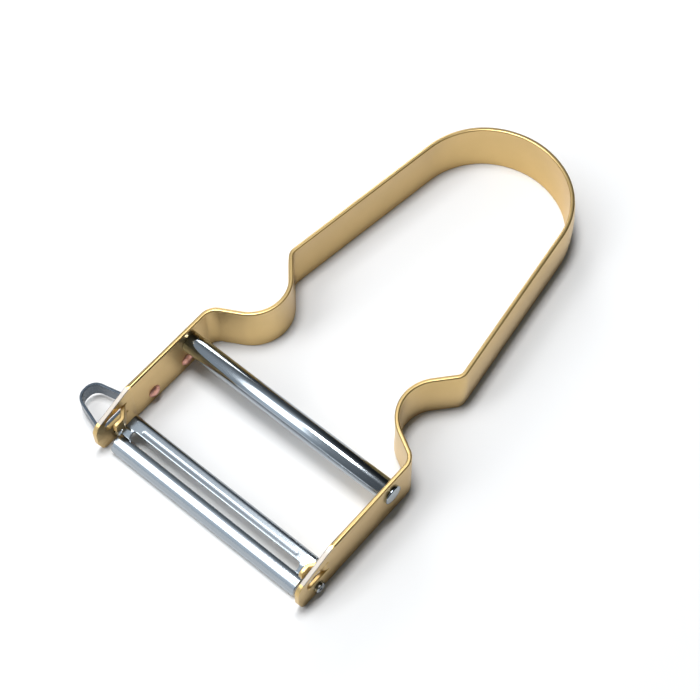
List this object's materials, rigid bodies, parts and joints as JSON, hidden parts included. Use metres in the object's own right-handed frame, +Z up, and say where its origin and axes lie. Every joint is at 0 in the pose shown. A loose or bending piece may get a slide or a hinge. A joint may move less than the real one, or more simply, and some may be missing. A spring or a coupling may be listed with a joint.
{
  "type": "vegetable peeler",
  "caption": "Hand peeler: a bent metal strip frame with a looped handle, a swivelling slotted blade between its arms, a crossbar behind it and an eye remover at one side.",
  "frame": {"origin": "centre of the bounding box on the surface that the peeler lies on; the frame's mid-plane is 4.45 mm to +X", "axes": "+X from the eye remover to the plain arm, +Y from the blade to the handle loop, +Z up from the surface"},
  "size_m": [0.065, 0.111, 0.0125],
  "materials": {
    "gold_aluminium": "satin gold anodised",
    "polished_steel": "polished",
    "blade_steel": "bright rolled steel",
    "dark_steel": "smooth tempered strip",
    "copper": null
  },
  "bodies": {
    "frame": {"frame": "gold_aluminium", "crossbar": "polished_steel", "eye_remover": "dark_steel", "front_rivet": "copper", "rear_rivet": "copper"},
    "blade": {"blade": "blade_steel"}
  },
  "joints": [
    {"name": "blade_swivel", "type": "hinge", "parent": "frame", "child": "blade", "pos_m": [0.00445, -0.0498, 0.0026], "axis": [-1, 0, 0], "range_deg": [0, 42]}
  ]
}
